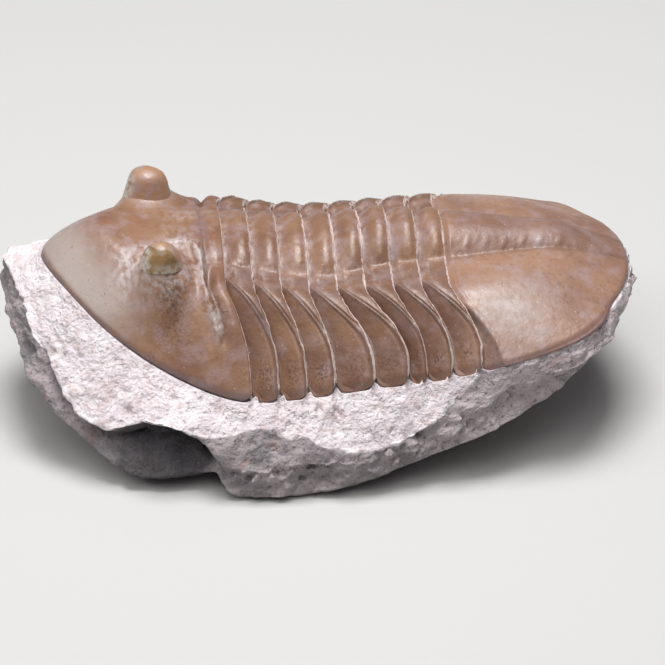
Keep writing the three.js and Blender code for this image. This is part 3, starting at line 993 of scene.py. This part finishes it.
def lens_material():
    """Calcite lens surface: olive brown and polished, with a pale rim where it meets the lid."""
    material, tree, place = new_material("calcite_lens")
    lid, pale = (add(tree, "Attribute", attribute_name=mark, out="Fac") for mark in ("lid", "pale"))
    shell = layered(tree, "#a07a60", ("#9a8380", blotches(tree, place, 1.8, 0.42, 0.66, 0.8, 4.0)))
    colour = layered(
        tree,
        "#876943",
        ("#5b4526", blotches(tree, place, 1.6, 0.35, 0.65, 0.8, 4.0)),
        (shell, lid),
        ("#b5aaa0", pale, blotches(tree, place, 0.8, 0.3, 0.6, 1.0, 3.0)),
    )
    roughness = blotches(tree, place, 1.0, 0.3, 0.7, 0.16, 3.0)
    roughness = add(tree, "Math", roughness, 0.22, operation="ADD")
    roughness = add(tree, "Math", lid, 0.14, roughness, operation="MULTIPLY_ADD")
    relief = add(tree, "TexNoise", place, Scale=1 / (0.8 * MM), Detail=4.0)
    fine = add(tree, "TexNoise", place, Scale=1 / (0.25 * MM), Detail=2.0)
    finish_surface(tree, colour, roughness, [(relief, 0.07), (fine, 0.014)], IOR=1.56)
    return material


LENS = lens_material()
print("the lens material has", len(LENS.node_tree.nodes), "nodes")

# %% Build the eyes
EYE_TURNS, EYE_STEPS = 96, 48
FOOT = -0.45  # how far the knob's foot lies below the mound's top, as a share of its height
OUT_OF_ROUND, LENGTHENED = 0.06, 1.06  # unevenness of a knob's outline, and its length over its width
EYE_UNEVEN = 0.13  # depth of the broad unevenness


def eye_marks(eye, x, y, rise, points):
    """Where a knob is lid, not lens, and where it is pale: along the lid's edge, at the front
    and, on the left, round the foot. The lens faces outwards and a little forwards."""
    side = np.sign(eye["y"])
    outward = (side * (y - eye["y"]) - 0.5 * (x - eye["x"])) / eye["radius"]
    lens = ramp(-0.2, 0.5, outward + 0.15 * noise(points, 1.2, 53))
    lens = lens * (1 - ramp(0.72, 0.92, rise + 0.15 * noise(points, 1.0, 55)))
    front = (eye["x"] - x) / (eye["radius"] + eye["flare"] * (1 - rise))
    front = ramp(0.6, 0.95, front) * (1 - ramp(0.6, 0.9, rise))
    ring = 0.55 * (1 - ramp(-0.1, 0.2, rise)) * (side < 0)
    return {"lid": 1 - lens, "pale": np.clip(0.4 * bell(lens, 0.5, 0.3) + 0.9 * front + ring, 0, 1)}


def make_eye(name):
    """A blunt knob: its radius shrinks as (1 - rise^blunt)^(1/2), and its foot is flared."""
    eye = EYES[name]
    turn = np.linspace(0, 2 * np.pi, EYE_TURNS + 1)[None, :]
    angle = np.linspace(0, np.pi / 2, EYE_STEPS)[:, None]
    rise = mix(FOOT, 1, np.sin(angle) ** 1.1)
    dome = np.clip(rise, 0, 1)
    outline = 1 + OUT_OF_ROUND * np.cos(2 * turn + 0.6)
    radius = eye["radius"] * (1 - dome ** eye["blunt"]) ** 0.5 * outline
    radius = radius + eye["flare"] * (1 - rise) * (1 - dome**8)
    x = eye["x"] + radius * np.cos(turn) * LENGTHENED
    y = eye["y"] + radius * np.sin(turn)
    z = mound_top(eye) + eye["height"] * rise + 0 * turn
    points = np.stack([x, y, z], -1)
    points += EYE_UNEVEN * rough(points, 2.2, 3, 51)[..., None] * np.array([0.6, 0.6, 0.8])
    # the last column meets the first, and the top and foot rows each close to one point
    points[:, -1] = points[:, 0]
    points[-1] = points[-1].mean(axis=0)
    points[0] = points[0].mean(axis=0)
    index = np.arange(EYE_STEPS * (EYE_TURNS + 1)).reshape(EYE_STEPS, -1)
    index[:, -1] = index[:, 0]
    index[0], index[-1] = index[0, 0], index[-1, 0]
    marks = eye_marks(eye, x, y, rise + 0 * turn, points)
    return make_piece(name, points.reshape(-1, 3), cells(index), marks, LENS)


for name in EYES:
    make_eye(name)

# %% [markdown]
# ## The block of limestone
#
# The block is one closed surface. At each azimuth a profile runs from the top of the
# hump under the shell, out past the margin, down the chiselled ledge to its rim, down
# the broken side, and in over the flat base. A table gives it at some azimuths, and a
# curve through them gives the rest. Noise then breaks the surface up: fine on the
# ledge, which was worked with a stylus, and coarse on the sides, which broke by chance.
# A displaced sphere would be simpler, but this puts the points where the light shows them.
#
# The finish comes first. Cut limestone is chalky and nearly white, with a pinkish tinge,
# and old broken faces are greyer, with dark and rusty specks. They are two stacks of
# tints, mixed by a mark on the mesh whose edge is broken up by noise. Shade is painted
# in too: a darker pinkish grey in the stylus pits, and a dark grey in the hollow under
# the rim, where the rim's shadow falls.

# %% The limestone


def limestone():
    """Chalky limestone: matt, nearly white where chiselled, grey and speckled where it broke.
    Shade is painted into its pits and into the hollow under the rim.
    """
    material, tree, place = new_material("chiselled_limestone")
    broken, hollow, old, painted_shade = (
        add(tree, "Attribute", attribute_name=mark, out="Fac") for mark in ("broken", "pit", "old", "painted_shade")
    )
    fresh = layered(
        tree,
        "#e2d9dc",
        ("#cdbfc3", blotches(tree, place, 3.2, 0.4, 0.7, 0.75, 5.0)),
        ("#c4a7a0", blotches(tree, place, 1.4, 0.52, 0.7, 0.5, 4.0)),
        # painted shade: a darker pinkish grey in the stylus pits
        ("#ae9b9b", hollow, blotches(tree, place, 0.9, 0.3, 0.6, 1.0, 3.0)),
    )
    crust = layered(
        tree,
        "#b9adaf",
        ("#9d9395", old),
        ("#7b7577", blotches(tree, place, 3.6, 0.38, 0.66, 0.9, 6.0), old),
        ("#a79b9c", blotches(tree, place, 1.2, 0.54, 0.7, 0.5, 4.0)),
        ("#63595b", blotches(tree, place, 0.6, 0.57, 0.68, 0.7, 4.0)),
        ("#937a72", blotches(tree, place, 3.8, 0.60, 0.72, 0.5, 3.0)),
        # painted shade: a dark grey laid into the hollow under the rim
        ("#3d3c3f", painted_shade),
    )
    edge = add(tree, "TexNoise", place, Scale=1 / (2.4 * MM), Detail=6.0)
    edge = add(tree, "Math", edge, broken, operation="ADD")
    edge = add(tree, "MapRange", edge, 0.85, 1.15, 0.0, 1.0, interpolation_type="SMOOTHSTEP")
    dots = blotches(tree, place, 0.5, 0.60, 0.70, 0.5, 3.0)
    colour = layered(tree, fresh, (crust, edge), ("#75686a", dots))
    coarse = add(tree, "TexNoise", place, Scale=1 / (1.6 * MM), Detail=6.0)
    fine = add(tree, "TexNoise", place, Scale=1 / (0.5 * MM), Detail=4.0)
    finish_surface(tree, colour, 0.92, [(coarse, 0.75), (fine, 0.4)], IOR=1.5)
    return material


LIMESTONE = limestone()
print("the limestone has", len(LIMESTONE.node_tree.nodes), "nodes")

# %% The block's rim, waist and base
ROCK_CENTRE = np.array([1.5, -1])
# azimuth, rim radius and height, recess under the rim, waist radius and height, base radius
ROCK = [
    (-173, 42.3, 18.5, 0.0, 43.3, 14.0, 24),
    (-165, 41.3, 14.5, 0.0, 42.4, 10.5, 26),
    (-156, 40.4, 10.4, 0.4, 40.0, 6.8, 29),
    (-148, 38.0, 8.0, 3.0, 38.0, 4.0, 32),
    (-142, 34.4, 9.6, 5.5, 36.2, 2.2, 32),
    (-136, 32.3, 9.6, 5.5, 32.8, 2.0, 27),
    (-130, 30.8, 7.6, 3.6, 30.4, 2.8, 22.5),
    (-126, 30.8, 6.0, 0.8, 30.0, 3.2, 23.5),
    (-121, 30.4, 5.0, 0.1, 30.0, 0.9, 27),
    (-114, 29.3, 4.7, 0.0, 29.2, 0.7, 27.5),
    (-100, 27.2, 4.9, 0.0, 27.1, 1.2, 25),
    (-86, 26.1, 5.9, 0.0, 26.6, 2.4, 22),
    (-72, 25.6, 7.8, 0.0, 26.6, 4.0, 18),
    (-58, 27.4, 9.8, 0.2, 28.6, 6.0, 15),
    (-45, 30.4, 12.2, 0.6, 31.2, 8.4, 13),
    (-30, 37.2, 15.0, 1.4, 34.4, 11.0, 12),
    (-12, 40.0, 18.0, 0.8, 37.4, 13.0, 11),
    (8, 40.6, 18.6, 0.4, 38.0, 13.0, 11),
    (28, 40.0, 16.6, 0.2, 36.6, 10.6, 12),
    (48, 34.6, 12.8, 0.0, 31.6, 7.4, 15),
    (70, 28.8, 10.2, 0.0, 27.4, 5.2, 18),
    (92, 27.4, 9.0, 0.0, 26.2, 4.2, 19),
    (114, 29.6, 8.6, 0.0, 28.0, 3.8, 20),
    (134, 33.8, 9.6, 0.0, 31.8, 4.4, 21),
    (154, 39.4, 14.4, 0.0, 37.2, 6.8, 22),
    (170, 44.9, 20.3, 0.0, 45.2, 15.5, 23),
]
# azimuth, and the share of the way from margin to rim where the chiselling ends
LEDGE_END = [
    (-173, 1.1), (-163, 1.15), (-150, 1.05), (-138, 1.1), (-130, 0.9), (-120, 0.42),
    (-108, 0.55), (-94, 0.8), (-80, 1.0), (-66, 0.95), (-57, 0.6), (-50, 0.05),
    (-25, 0.0), (-12, 0.35), (10, 0.8), (40, 1.0), (120, 0.8), (165, 1.0),
]
print("the block is drawn at", len(ROCK), "azimuths")

# %% The shell's margin, seen from the block's centre
HALVINGS = 30


def margin_radius(azimuth):
    """Distance from the rock's centre to the shell's margin, by halving an interval."""
    near, far = np.zeros_like(azimuth), np.full_like(azimuth, TAIL_X - HEAD_X)
    for _ in range(HALVINGS):
        middle = (near + far) / 2
        x, y = ROCK_CENTRE[0] + middle * np.cos(azimuth), ROCK_CENTRE[1] + middle * np.sin(azimuth)
        inside = share(x, y) < 1
        near, far = np.where(inside, middle, near), np.where(inside, far, middle)
    return near


print("distance to the margin ahead, beside and behind:", margin_radius(np.radians([180, 90, 0])).round(1))

# %% Profiles of the block
STEPS = [3, 40, 22, 16, 12, 6]  # rings in each zone of a profile
RIM_OUT, RIM_UP = 0.5, 0.45  # how far the rim wanders, outwards and in height
RIM_ROUND = 30  # radius of the circle along which that wandering is read
TOOTH_IN, TOOTH_UP = 1.1, 0.5  # how far a tooth of rock comes in under the margin, and up into its notch


def rock_profile(azimuth):
    """Radius and height of every ring, the zone each ring is in, and the margin's radius.

    Zones run from 0 at the hump, by 1 at the margin, 2 at the rim, 3 at the middle of
    the upper side, 4 at the waist and 5 below it, to 6 at the base's edge. Between two
    of these the profile is straight. A tooth of rock stands in each notch of the margin.
    """
    table = np.array(ROCK, float)
    rim_r, rim_z, recess, waist_r, waist_z, base_r = (
        curve(table[:, [0, k]], np.degrees(azimuth), 360) for k in range(1, 7)
    )
    margin = margin_radius(azimuth)
    edge_x, edge_y = ROCK_CENTRE[0] + margin * np.cos(azimuth), ROCK_CENTRE[1] + margin * np.sin(azimuth)
    edge_z = shell_height(edge_x, edge_y)
    around = np.stack([np.cos(azimuth), np.sin(azimuth), 0 * azimuth], -1) * RIM_ROUND
    rim_r = rim_r + RIM_OUT * rough(around, 4, 4, 111)
    rim_z = rim_z + RIM_UP * rough(around, 3, 4, 115)
    joints = np.arange(len(SEGMENTS) + 1)[:, None]
    tooth = bell(edge_x, joint_x(joints, edge_y), 0.5).sum(axis=0) * (np.abs(edge_y) > 0.97 * HALF_WIDTH)
    corners = [
        (margin - 1.0 - 0.6 * tooth, edge_z - 1.0),
        (margin - 0.2 - TOOTH_IN * tooth, edge_z - 0.3 + TOOTH_UP * tooth),
        (rim_r, rim_z),
        (mix(rim_r, waist_r, 0.5) - recess, mix(rim_z, waist_z, 0.5 - 0.045 * recess)),
        (waist_r, waist_z),
        (mix(waist_r, base_r, 0.5), waist_z * 0.35),
        (base_r, 0 * base_r),
    ]
    zone = np.concatenate([k + np.arange(n) / n for k, n in enumerate(STEPS)] + [[6.0]])[:, None]
    start = zone.astype(int).ravel()
    stop = np.minimum(start + 1, 6)
    radius, height = (np.stack([corner[k][0] for corner in corners]) for k in range(2))
    along = zone - start[:, None]
    return mix(radius[start], radius[stop], along), mix(height[start], height[stop], along), zone, margin


print("a profile has", sum(STEPS) + 1, "points below the hump")

# %% Roughness of the block


def ledge_relief(points, broken, pits):
    """Stylus marks where the ledge was worked, and crumbled faces where it broke."""
    chisel = 0.42 * rough(points, 5.5, 3, 61) + 0.24 * rough(points, 1.9, 4, 65) - 0.45 * pits
    crumble = 0.6 * facets(points, 3.4, 101) + 0.5 * rough(points, 1.8, 4, 105) - 0.5 * pits
    return mix(chisel, crumble + 0.3 * chisel, broken)


def side_relief(points, place, undercut, right_end, pits):
    """Broken faces of two sizes, calmer at the right end, lumpy in the undercut and pitted
    near the rim. A point's place is 0 at the margin, 1 at the rim and 3 at the waist."""
    fracture = 1.2 * facets(points, 7.5, 91) + 0.5 * facets(points, 2.6, 95)
    fracture = fracture + 0.55 * rough(points, 2.2, 4, 81)
    fracture = fracture * (1 - 0.4 * right_end) + 0.6 * undercut * rough(points, 3, 4, 121)
    return fracture + (0.4 * rough(points, 1.1, 3, 131) - 0.7 * pits) * (1 - ramp(2.2, 3, place))


print("spread of the ledge's relief:", ledge_relief(sample, 0, 0).std().round(2), "mm")

# %% Build the block
SECTORS = 700
HUMP_RINGS, HUMP_SHARE = 14, 0.96  # rings under the shell, and how far out they reach
HUMP_GAP = 0.5  # gap between the hump and the underside of the plates


def rock_rings(azimuth):
    """The smooth block's rings: those of the hump, then those of the profile below it."""
    radius, height, zone, margin = rock_profile(azimuth)
    direction = np.stack([np.cos(azimuth), np.sin(azimuth), 0 * azimuth], -1)
    centre = np.append(ROCK_CENTRE, 0)
    hump = centre + direction * (margin * np.linspace(0, HUMP_SHARE, HUMP_RINGS)[:, None])[..., None]
    hump = lifted(body_height, hump[..., 0], hump[..., 1], np.full(hump.shape[:2], -SHELL - HUMP_GAP))
    points = centre + direction * radius[..., None]
    points[..., 2] = height
    return hump, points, zone, direction


def make_rock():
    """The block: its rings, pushed out and up on the ledge and sideways below the rim."""
    azimuth = np.linspace(0, 2 * np.pi, SECTORS, endpoint=False)[None, :]
    degrees = np.mod(np.degrees(azimuth) + 180, 360) - 180
    hump, points, zone, direction = rock_rings(azimuth)
    end = curve(LEDGE_END, degrees, 360)
    place = zone - 1 + 0 * degrees
    broken = ramp(end - 0.15, end + 0.15, place)
    pits = ramp(0.5, 0.12, chips(points, 1.7, 71)) * ramp(-0.1, 0.5, noise(points, 4, 75))
    right_end = ramp(-75, -50, degrees) * (1 - ramp(20, 40, degrees))
    undercut = ramp(-152, -144, degrees) * (1 - ramp(-131, -125, degrees))
    # painted shade in the hollow under the rim: from just below the rim down the side, further down on its
    # right
    shadow_end = place - 1.3 * ramp(-147, -140, degrees)
    painted_shade = 0.85 * undercut * ramp(1.0, 1.25, place) * (1 - ramp(2.5, 3.1, shadow_end))
    fade = mix(0.25, 1, ramp(0.02, 0.3, place)) * ramp(-0.2, 0, place)
    on_ledge = fade * (1 - ramp(0.98, 1.1, place))
    on_side = ramp(0.9, 1.15, place) * (1 - ramp(4.5, 5, place))
    ledge = ledge_relief(points, broken, pits) * on_ledge
    side = side_relief(points, place, undercut, right_end, pits) * on_side
    points = points + (direction * 0.6 + np.array([0, 0, 0.8])) * ledge[..., None]
    points = points + (direction + np.array([0, 0, 0.35])) * side[..., None]
    points[..., 2] = np.where(zone >= 6, 0, np.maximum(points[..., 2], 0))
    base = np.broadcast_to(np.append(ROCK_CENTRE, 0), (1, SECTORS, 3))
    rings = np.concatenate([hump, points, base])
    # the first and last rings close to one point, and the last sector meets the first
    index = np.arange(rings.shape[0] * SECTORS).reshape(-1, SECTORS)
    index[0], index[-1] = index[0, 0], index[-1, 0]
    index = np.concatenate([index, index[:, :1]], axis=1)
    quads = cells(index)
    quads = quads[(quads == np.roll(quads, -1, axis=1)).sum(axis=1) < 2][:, ::-1]
    above, below = np.zeros(hump.shape[:2]), np.ones((1, SECTORS))
    marks = {
        "broken": np.concatenate([above, broken, below]),
        "old": np.concatenate([above, 1 - 0.6 * right_end + 0 * place, below]),
        "painted_shade": np.concatenate([above, painted_shade, 0 * below]),
        # the stylus pits, which the limestone darkens as painted shade
        "pit": np.concatenate([above, pits * on_ledge, 0 * below]),
    }
    return make_piece("matrix", rings.reshape(-1, 3), quads, marks, LIMESTONE)


make_rock()

# %% [markdown]
# ## Floor, light and camera
#
# A plain pale floor and soft studio light show the surfaces as they are. The main light
# is a broad softbox overhead, a little behind the fossil, which draws long highlights
# down the rings. A weaker one from the front fills the ledge, and a faint one from the
# left rounds off the head.

# %% Floor and world
FLOOR_HALF = 3.0  # metres from the floor's middle to its edges, far enough to fill every view


def set_world(colour, strength):
    """Even light from all round."""
    world = bpy.data.worlds.new("studio")
    world.use_nodes = True
    back = world.node_tree.nodes["Background"]
    back.inputs["Color"].default_value = linear(colour)
    back.inputs["Strength"].default_value = strength
    bpy.context.scene.world = world


def make_floor():
    """A wide pale sheet under the block, matt like paper."""
    half = FLOOR_HALF
    corners = [(-half, -half, 0), (half, -half, 0), (half, half, 0), (-half, half, 0)]
    mesh = bpy.data.meshes.new("floor")
    mesh.from_pydata(corners, [], [(0, 1, 2, 3)])
    material, tree, place = new_material("matt_paper")
    fibres = add(tree, "TexNoise", place, Scale=1 / (0.6 * MM), Detail=2.0)
    finish_surface(tree, "#bdbcba", 0.9, [(fibres, 0.01)])
    mesh.materials.append(material)
    floor = bpy.data.objects.new("floor", mesh)
    bpy.context.scene.collection.objects.link(floor)


bpy.context.scene.view_settings.view_transform = "Standard"
set_world("#dfe3ea", 0.15)
make_floor()
print("floor", 2 * FLOOR_HALF, "m wide")

# %% Softboxes
TARGET = Vector((0, 0, 0.02))


def softbox(name, azimuth, elevation, distance, size, power):
    """An area light that faces the fossil, placed by azimuth and elevation in degrees."""
    a, e = np.radians([azimuth, elevation])
    towards = Vector((np.sin(a) * np.cos(e), -np.cos(a) * np.cos(e), np.sin(e)))
    light = bpy.data.lights.new(name, "AREA")
    light.shape = "RECTANGLE"
    light.size, light.size_y = size
    light.energy = power
    lamp = bpy.data.objects.new(name, light)
    lamp.location = TARGET + towards * distance
    lamp.rotation_euler = (-towards).to_track_quat("-Z", "Y").to_euler()
    bpy.context.scene.collection.objects.link(lamp)
    print(f"{name}: {power} W from {distance} m")


softbox("overhead", 170, 87, 0.55, (0.26, 0.30), 3.9)
softbox("front_fill", -20, 58, 0.8, (0.6, 0.5), 2.7)
softbox("left_rim", -85, 30, 0.7, (0.3, 0.3), 0.8)

# %% [markdown]
# ## The camera
#
# The view is from the animal's left, a little ahead of its side and well above it. A wide
# lens close by would swell the near rim of the block, so it is a long lens half a metre
# away. It is aimed by turning the camera, and not by shifting the lens, because that
# suits every other view too.

# %% Camera
CAMERA_AZIMUTH, CAMERA_ELEVATION = np.radians([-4.5, 28.6])
CAMERA_DISTANCE = 0.5
SENSOR, LENS_LENGTH = 36.0, 200.3
AIM_RIGHT, AIM_UP = 0.00125, -0.00926  # the fossil sits above the middle of the frame

level = np.cos(CAMERA_ELEVATION)
BACK = Vector((np.sin(CAMERA_AZIMUTH) * level, -np.cos(CAMERA_AZIMUTH) * level, np.sin(CAMERA_ELEVATION)))
RIGHT = Vector((np.cos(CAMERA_AZIMUTH), np.sin(CAMERA_AZIMUTH), 0))
UP = BACK.cross(RIGHT)

camera_data = bpy.data.cameras.new("camera")
camera_data.sensor_width = SENSOR
camera_data.lens = LENS_LENGTH
camera = bpy.data.objects.new("camera", camera_data)
camera.location = TARGET + BACK * CAMERA_DISTANCE
aim = TARGET + RIGHT * AIM_RIGHT + UP * AIM_UP
camera.rotation_euler = (aim - camera.location).to_track_quat("-Z", "Y").to_euler()
bpy.context.scene.collection.objects.link(camera)
bpy.context.scene.camera = camera
print("camera at", [round(c, 3) for c in camera.location])
